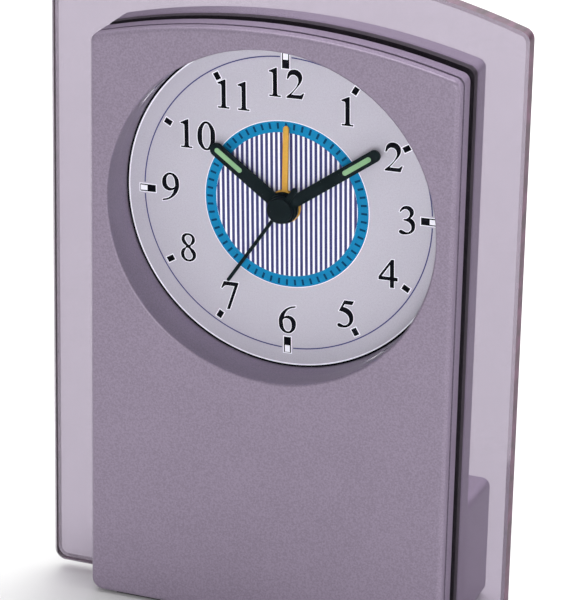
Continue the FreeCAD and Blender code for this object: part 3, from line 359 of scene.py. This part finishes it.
LILAC = (0.268, 0.219, 0.298)
MATERIALS = {
    "cover": metallic_paint("lilac_paint", LILAC, groove_shaded=True),
    "housing": metallic_paint("lilac_paint_rear", LILAC),
    # The plate's dark rim tint is painted shade for the long path through the tinted plastic.
    "clear": clear_sheet("tinted_acrylic", (0.403, 0.356, 0.430), 0.02, rim_shade_tint=(0.070, 0.021, 0.050)),
    "lens_clear": clear_sheet("lens_clear", (0.99, 0.99, 0.995), 0.01, ior=1.01),
    "gasket": moulded("gasket_black", (0.026, 0.019, 0.023), 0.62, 0.5),
    "dial": metallic_paint("dial_satin", (0.435, 0.417, 0.480), grain=0.04, metallic=0.1, roughness=0.5),
    "foot": moulded("foot_rubber", (0.02, 0.02, 0.02), 0.8, 0.6, 0.02),
    "steel": bare_metal("plated_steel", (0.60, 0.60, 0.61), 0.28),
    "brass": bare_metal("rolled_brass", (0.60, 0.44, 0.18), 0.32, (1, 1, 6)),
    "cell": cell_sleeve(),
    "hand_dark": ink("hand_lacquer", (0.007, 0.012, 0.014), 0.38),
    "lume": moulded("lume_green", (0.20, 0.37, 0.19), 0.7, 0.18, 0.012, 0.12),
    "amber": ink("amber_lacquer", (0.56, 0.31, 0.06), 0.4),
    "nylon": moulded("gear_nylon", (0.70, 0.68, 0.62), 0.5, 0.4),
    "black_plastic": moulded("movement_black", (0.022, 0.022, 0.025), 0.48, 0.4, 0.012),
    "copper": winding(),
    "board": board_mask(),
    "ceramic": moulded("sounder_ceramic", (0.72, 0.71, 0.66), 0.55, 0.3),
}
INKS = {
    "black": ink("ink_black", (0.003, 0.003, 0.006)),
    "navy": ink("ink_navy", (0.055, 0.055, 0.17)),
    "white": ink("ink_white", (0.84, 0.84, 0.90)),
    "blue": ink("ink_blue", (0.008, 0.19, 0.385)),
    "teal": ink("ink_teal", (0.004, 0.045, 0.11)),
}

slot_of = {part["node"]: part["material_slot"] for part in frame["record"]["subparts"]}
for name, piece in nodes.items():
    piece.data.materials.clear()
    piece.data.materials.append(MATERIALS[slot_of[name]])


# ---------------------------------------------------------------- printed work on the dial
def printed(name, outlines, lift, material):
    """A piece of ink on the dial from closed outlines of (x, y) in dial millimetres."""
    mesh = bmesh.new()
    for outline in outlines:
        mesh.faces.new([mesh.verts.new((x, y, 0.0)) for x, y in outline])
    thick = bmesh.ops.extrude_face_region(mesh, geom=list(mesh.faces))
    tops = [v for v in thick["geom"] if isinstance(v, bmesh.types.BMVert)]
    bmesh.ops.translate(mesh, verts=tops, vec=(0, 0, INK_THICKNESS))
    bmesh.ops.recalc_face_normals(mesh, faces=mesh.faces)
    bmesh.ops.transform(mesh, matrix=dial_matrix(lift), verts=mesh.verts)
    data = bpy.data.meshes.new(name)
    mesh.to_mesh(data)
    mesh.free()
    place_print(name, data, material)


def place_print(name, data, material):
    """A finished ink mesh becomes a piece, in the given ink, that rides on the case."""
    data.materials.clear()
    data.materials.append(material)
    piece = bpy.data.objects.new(name, data)
    bpy.context.scene.collection.objects.link(piece)
    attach(piece, "case")


def clock_point(radius, hours):
    """The (x, y) place on the dial at an hour, which may be a fraction."""
    angle = math.radians(90 - hours * 30)
    return radius * math.cos(angle), radius * math.sin(angle)


def arc_band(inner, outer, start, end, steps):
    """The outline of part of a ring, between two clock angles given in hours."""
    hours = [start + (end - start) * i / steps for i in range(steps + 1)]
    return [clock_point(outer, t) for t in hours] + [clock_point(inner, t) for t in reversed(hours)]


def ring(inner, outer, parts=72):
    """A whole ring as outlines of short arcs, because one outline can't have a hole."""
    return [arc_band(inner, outer, 12 * i / parts, 12 * (i + 1) / parts, 2) for i in range(parts)]


def tick(radius, hours, length, width):
    """A short bar that points to the dial's centre."""
    angle = math.radians(90 - hours * 30)
    along = Vector((math.cos(angle), math.sin(angle)))
    across = Vector((-along.y, along.x)) * width / 2
    outer, inner = along * (radius + length / 2), along * (radius - length / 2)
    return [tuple(p) for p in (inner - across, outer - across, outer + across, inner + across)]


MAIN_HOURS = (0, 3, 6, 9)
MAIN_LENGTH, MAIN_WIDTH, MAIN_RADIUS = 4.1, 1.85, 36.2
MINOR_LENGTH, MINOR_WIDTH, MINOR_RADIUS = 1.9, 1.4, 35.2
# The ring line stops this far each side of a main hour, in hours.
RING_GAP = 0.075
# Painted shadow and highlight at the dial's edge: a dark ring for the shadow in the gap between dial and
# case, and a light ring just inside it for a highlight on the dial's edge.
GAP_SHADOW_OUTER, GAP_SHADOW_INNER, RIM_HIGHLIGHT_WIDTH = 41.78, 41.28, 0.35
ARC_STEPS = 48
OUTLINE = 0.22
WINDOW_EDGE = 0.28


def print_ring_line():
    """The thin navy line, broken at the main hours; a dark ring painted as the shadow in the gap round the
    dial, with a painted highlight along its inner edge.
    """
    bands = []
    for start in MAIN_HOURS:
        bands.append(arc_band(RING_RADIUS - RING_WIDTH / 2, RING_RADIUS + RING_WIDTH / 2,
                              start + RING_GAP, start + 3 - RING_GAP, ARC_STEPS))
    printed("ring_line", bands, LAYER, INKS["navy"])
    # Painted shadow of the gap between dial and case, then a painted highlight just inside it.
    printed("gap_shadow_ring", ring(GAP_SHADOW_INNER, GAP_SHADOW_OUTER), LAYER, INKS["black"])
    printed("rim_highlight_ring", ring(GAP_SHADOW_INNER - RIM_HIGHLIGHT_WIDTH, GAP_SHADOW_INNER), LAYER, INKS["white"])


def print_markers():
    """Twelve black bars with a white outline; the four main ones have a white window at their outer end."""
    minor = [hours for hours in range(12) if hours not in MAIN_HOURS]
    halo = [tick(MAIN_RADIUS, h, MAIN_LENGTH + 2 * OUTLINE, MAIN_WIDTH + 2 * OUTLINE) for h in MAIN_HOURS]
    halo += [tick(MINOR_RADIUS, h, MINOR_LENGTH + 2 * OUTLINE, MINOR_WIDTH + 2 * OUTLINE) for h in minor]
    printed("marker_outlines", halo, 2 * LAYER, INKS["white"])
    bars = [tick(MAIN_RADIUS, h, MAIN_LENGTH, MAIN_WIDTH) for h in MAIN_HOURS]
    bars += [tick(MINOR_RADIUS, h, MINOR_LENGTH, MINOR_WIDTH) for h in minor]
    printed("marker_bars", bars, 3 * LAYER, INKS["black"])
    half, width = MAIN_LENGTH / 2, MAIN_WIDTH - 2 * WINDOW_EDGE
    windows = [tick(MAIN_RADIUS + half / 2, h, half - WINDOW_EDGE, width) for h in MAIN_HOURS]
    printed("marker_windows", windows, 4 * LAYER, INKS["white"])


# The white outline reaches this far inside and outside the disc's edge.
EDGE_INSIDE, EDGE_OUTSIDE = 0.2, 0.18
# The white field runs from a pinhole, hidden under the second hand's cap, to just under the blue ring.
FIELD_HOLE, FIELD_OVERLAP = 0.5, 0.1
TICK_SHIFT, TICK_LENGTH, TICK_WIDTH = 0.25, 1.5, 0.55
STRIPE_HALF_SHARE = 0.28


def print_disc():
    """The striped middle of the dial inside a blue ring with sixty minute ticks."""
    edge = ring(DISC_RADIUS - EDGE_INSIDE, DISC_RADIUS + EDGE_OUTSIDE)
    printed("disc_outline", edge, LAYER, INKS["white"])
    printed("disc_field", ring(FIELD_HOLE, STRIPE_RADIUS + FIELD_OVERLAP), LAYER, INKS["white"])
    printed("disc_ring", ring(STRIPE_RADIUS, DISC_RADIUS), 3 * LAYER, INKS["blue"])
    middle = (STRIPE_RADIUS + DISC_RADIUS) / 2
    ticks = [tick(middle + TICK_SHIFT, minute / 5, TICK_LENGTH, TICK_WIDTH) for minute in range(60)]
    printed("disc_ticks", ticks, 4 * LAYER, INKS["teal"])
    printed("disc_stripes", stripes(), 2 * LAYER, INKS["navy"])


def stripes():
    """Upright bars, cut to the circle inside the blue ring."""
    outlines = []
    count = int(STRIPE_RADIUS / STRIPE_PITCH)
    half = STRIPE_PITCH * STRIPE_HALF_SHARE
    for index in range(-count, count + 1):
        left, right = index * STRIPE_PITCH - half, index * STRIPE_PITCH + half
        if max(abs(left), abs(right)) >= STRIPE_RADIUS:
            continue
        left_top = math.sqrt(STRIPE_RADIUS ** 2 - left ** 2)
        right_top = math.sqrt(STRIPE_RADIUS ** 2 - right ** 2)
        outlines.append([(left, -left_top), (right, -right_top), (right, right_top), (left, left_top)])
    return outlines


# The digits' outlines are drafted after the digits of a common serif typeface, on that typeface's
# grid: 1384 units high, and 1024 from one digit to the next. A point is (x, y) on a curve or (x, y, 0) at
# a corner.
DIGIT_UNITS = 1384
DIGIT_ADVANCE = 1024
DIGITS = {
    "0": [[(512, 1389), (215, 1170), (73, 672), (195, 170), (508, -25), (815, 170), (950, 692), (820, 1180)],
          [(512, 1325), (350, 1150), (277, 690), (352, 180), (510, 38), (672, 180), (747, 680), (675, 1160)]],
    "1": [[(227, 1223, 0), (570, 1389, 0), (604, 1389, 0), (604, 190, 0), (640, 55), (785, 38, 0),
           (785, 0, 0), (245, 0, 0), (245, 38, 0), (392, 55), (428, 190, 0), (428, 1040, 0), (405, 1145),
           (345, 1178), (243, 1190, 0)]],
    "2": [[(936, 262, 0), (838, 0, 0), (86, 0, 0), (86, 38, 0), (420, 350), (610, 620), (686, 880),
           (612, 1084), (430, 1163), (262, 1107), (145, 942, 0), (107, 942, 0), (215, 1270), (477, 1389),
           (745, 1290), (846, 1047), (790, 830), (570, 522), (272, 150, 0), (620, 150), (800, 172),
           (898, 262, 0)]],
    "3": [[(104, 1098, 0), (235, 1300), (463, 1389), (700, 1300), (776, 1115), (720, 945), (590, 809, 0),
           (775, 685), (843, 455), (735, 150), (308, -18), (130, 12), (72, 89), (152, 162), (285, 118),
           (442, 69), (615, 148), (695, 335), (600, 575), (332, 679), (300, 679, 0), (300, 709, 0),
           (480, 770), (610, 1000), (550, 1185), (385, 1254), (240, 1200), (126, 1088, 0)]],
    "4": [[(953, 500, 0), (953, 358, 0), (771, 358, 0), (771, 0, 0), (606, 0, 0), (606, 358, 0),
           (32, 358, 0), (32, 486, 0), (661, 1384, 0), (771, 1384, 0), (771, 500, 0)],
          [(606, 500, 0), (606, 1184, 0), (130, 500, 0)]],
    "5": [[(437, 1356, 0), (889, 1356, 0), (814, 1193, 0), (425, 1193, 0), (340, 1018, 0), (610, 945),
           (795, 770), (868, 524), (800, 260), (600, 55), (290, -18), (130, 12), (84, 84), (150, 155),
           (250, 125), (395, 72), (600, 160), (695, 380), (620, 620), (440, 760), (178, 822, 0)]],
    "6": [[(917, 1389, 0), (630, 1310), (300, 1060), (120, 760), (84, 500), (185, 140), (480, -25),
           (770, 90), (930, 430), (845, 735), (600, 860), (430, 820), (300, 735, 0), (400, 1010),
           (600, 1235), (917, 1352, 0)],
          [(278, 655), (460, 745), (650, 680), (745, 380), (665, 105), (515, 38), (355, 130), (265, 430)]],
    "7": [[(206, 1356, 0), (934, 1356, 0), (934, 1318, 0), (481, -29, 0), (369, -29, 0), (775, 1196, 0),
           (401, 1196, 0), (235, 1160), (105, 1024, 0), (76, 1035, 0)]],
    "8": [[(512, 1389), (255, 1300), (170, 1075), (235, 895), (395, 730), (200, 545), (130, 330),
           (240, 75), (500, -25), (780, 85), (885, 320), (800, 545), (600, 735), (780, 925), (835, 1105),
           (745, 1305)],
          [(512, 1328), (665, 1265), (712, 1100), (665, 940), (545, 800), (375, 955), (300, 1130),
           (365, 1270)],
          [(450, 680), (315, 520), (270, 330), (345, 115), (520, 38), (690, 115), (745, 270), (675, 445)]],
}
# The 9 is the 6 turned half round in a box of this width and height.
TURNED_WIDTH, TURNED_HEIGHT = 1014, 1364
DIGITS["9"] = [[(TURNED_WIDTH - point[0], TURNED_HEIGHT - point[1], *point[2:]) for point in loop]
               for loop in DIGITS["6"]]


# Where each numeral's middle stands from the dial's centre, with the print's slight turn already in it.
# All but 4 and 7 began as measured places, worked out outside this file and rounded to 0.1 mm, and all
# but the 9 were then moved by hand.
NUMERAL_PLACES = {
    12: (-1.0, 30.5), 1: (14.9, 25.6), 2: (26.8, 15.9), 3: (30.9, 0.6), 4: (26.4, -13.6), 5: (15.9, -25.7),
    6: (0.8, -29.5), 7: (-14.3, -25.6), 8: (-25.4, -14.8), 9: (-30.2, 0.2), 10: (-23.6, 14.5),
    11: (-14.1, 25.8),
}


# How many millimetres a digit's strokes gain on each side, in black ink and in the white outline under it.
INK_GROW, HALO_GROW = 0.11, 0.27


def numeral(name, hours, grow, lift, material):
    """One hour's numeral, upright on the dial; grow thickens it by that many millimetres."""
    text = str(hours)
    scale = NUMERAL_HEIGHT / DIGIT_UNITS
    # dial_matrix turns the whole print, so a place that has the turn in it is turned back first.
    centre_x, centre_y = Matrix.Rotation(-PRINT_TURN, 2) @ Vector(NUMERAL_PLACES[hours])
    start = centre_x - DIGIT_ADVANCE * len(text) * scale / 2
    curve = bpy.data.curves.new(name, "CURVE")
    curve.dimensions = "2D"
    curve.fill_mode = "BOTH"
    curve.resolution_u = 6
    curve.offset = grow
    curve.extrude = INK_THICKNESS / 2
    for place, digit in enumerate(text):
        left = place * DIGIT_ADVANCE
        for loop in DIGITS[digit]:
            points = [(start + (left + point[0]) * scale,
                       centre_y + (point[1] - DIGIT_UNITS / 2) * scale, 0) for point in loop]
            add_outline(curve, points, [len(point) > 2 for point in loop])
    drawing = bpy.data.objects.new(name + "_curve", curve)
    data = bpy.data.meshes.new_from_object(drawing)
    bpy.data.objects.remove(drawing)
    data.transform(dial_matrix(lift))
    data.name = name
    place_print(name, data, material)


def add_outline(curve, points, corners):
    """One closed outline through the points, smooth except where corners says so."""
    spline = curve.splines.new("BEZIER")
    spline.bezier_points.add(len(points) - 1)
    spline.use_cyclic_u = True
    for knot, point, corner in zip(spline.bezier_points, points, corners):
        knot.co = point
        knot.handle_left_type = knot.handle_right_type = "VECTOR" if corner else "AUTO"


def print_numerals():
    """Each numeral in black over a slightly fatter white one."""
    for hours in range(1, 13):
        numeral("numeral_halo_%d" % hours, hours, HALO_GROW, LAYER, INKS["white"])
        numeral("numeral_%d" % hours, hours, INK_GROW, 2 * LAYER, INKS["black"])


print_ring_line()
print_markers()
print_disc()
print_numerals()


# ---------------------------------------------------------------- studio
FLOOR_RADIUS = 4.0


def make_stage():
    """A wide pale tabletop, seen all the way round."""
    mesh = bmesh.new()
    bmesh.ops.create_circle(mesh, cap_ends=True, radius=FLOOR_RADIUS, segments=96)
    data = bpy.data.meshes.new("tabletop")
    mesh.to_mesh(data)
    mesh.free()
    shader = Shader("tabletop_paper", (0.75, 0.75, 0.75), 0.9, Specular_IOR_Level=0.1)
    shader.vary_colour(shader.noise(40.0), 0.01)
    data.materials.append(shader.material)
    tabletop = bpy.data.objects.new("tabletop", data)
    bpy.context.scene.collection.objects.link(tabletop)


def area_light(name, place, target, size, power):
    """A white rectangular lamp that faces its target."""
    lamp = bpy.data.lights.new(name, "AREA")
    lamp.shape = "RECTANGLE"
    lamp.size, lamp.size_y = size
    lamp.energy = power
    holder = bpy.data.objects.new(name, lamp)
    holder.location = place
    holder.rotation_euler = (Vector(target) - Vector(place)).to_track_quat("-Z", "Y").to_euler()
    bpy.context.scene.collection.objects.link(holder)


def make_lights():
    """Broad lamps overhead and behind, smaller ones in front and at the right, and an even white sky."""
    middle = (0, 0, 0.09)
    area_light("overhead", (0.0, 0.75, 2.2), (0, 0.45, 0), (2.4, 2.0), 58.0)
    area_light("key", (0.30, -1.25, 0.32), middle, (0.5, 0.4), 5.3)
    area_light("side", (1.4, 0.45, 0.45), middle, (0.8, 0.8), 7.0)
    area_light("back", (0.1, 1.5, 0.75), middle, (1.8, 0.7), 14.0)
    world = bpy.data.worlds.new("studio")
    world.use_nodes = True
    background = world.node_tree.nodes["Background"]
    background.inputs["Color"].default_value = (1.0, 1.0, 1.0, 1.0)
    background.inputs["Strength"].default_value = 0.5
    bpy.context.scene.world = world


# ---------------------------------------------------------------- camera
CAMERA_TARGET = (4.2, -20.0, 87.1)
CAMERA_AZIMUTH = math.radians(20.70)
CAMERA_ELEVATION = math.radians(21.55)
CAMERA_ROLL = math.radians(1.12)
CAMERA_DISTANCE = 811.9
CAMERA_LENS = 203.8


def make_camera():
    """A long lens, a little above the clock and to its right, rolled very slightly."""
    across, along, level = math.sin(CAMERA_AZIMUTH), math.cos(CAMERA_AZIMUTH), math.cos(CAMERA_ELEVATION)
    back = Vector((across * level, -along * level, math.sin(CAMERA_ELEVATION)))
    right = Vector((along, across, 0))
    up = back.cross(right)
    axes = Matrix((right, up, back)).transposed().to_4x4()
    data = bpy.data.cameras.new("camera")
    data.lens = CAMERA_LENS
    data.sensor_width = 36.0
    data.clip_start, data.clip_end = 0.05, 20.0
    camera = bpy.data.objects.new("camera", data)
    place = Matrix.Translation((Vector(CAMERA_TARGET) + back * CAMERA_DISTANCE) * MM)
    camera.matrix_world = place @ axes @ Matrix.Rotation(CAMERA_ROLL, 4, "Z")
    bpy.context.scene.collection.objects.link(camera)
    bpy.context.scene.camera = camera


make_stage()
make_lights()
make_camera()
bpy.context.scene.view_settings.view_transform = "Standard"
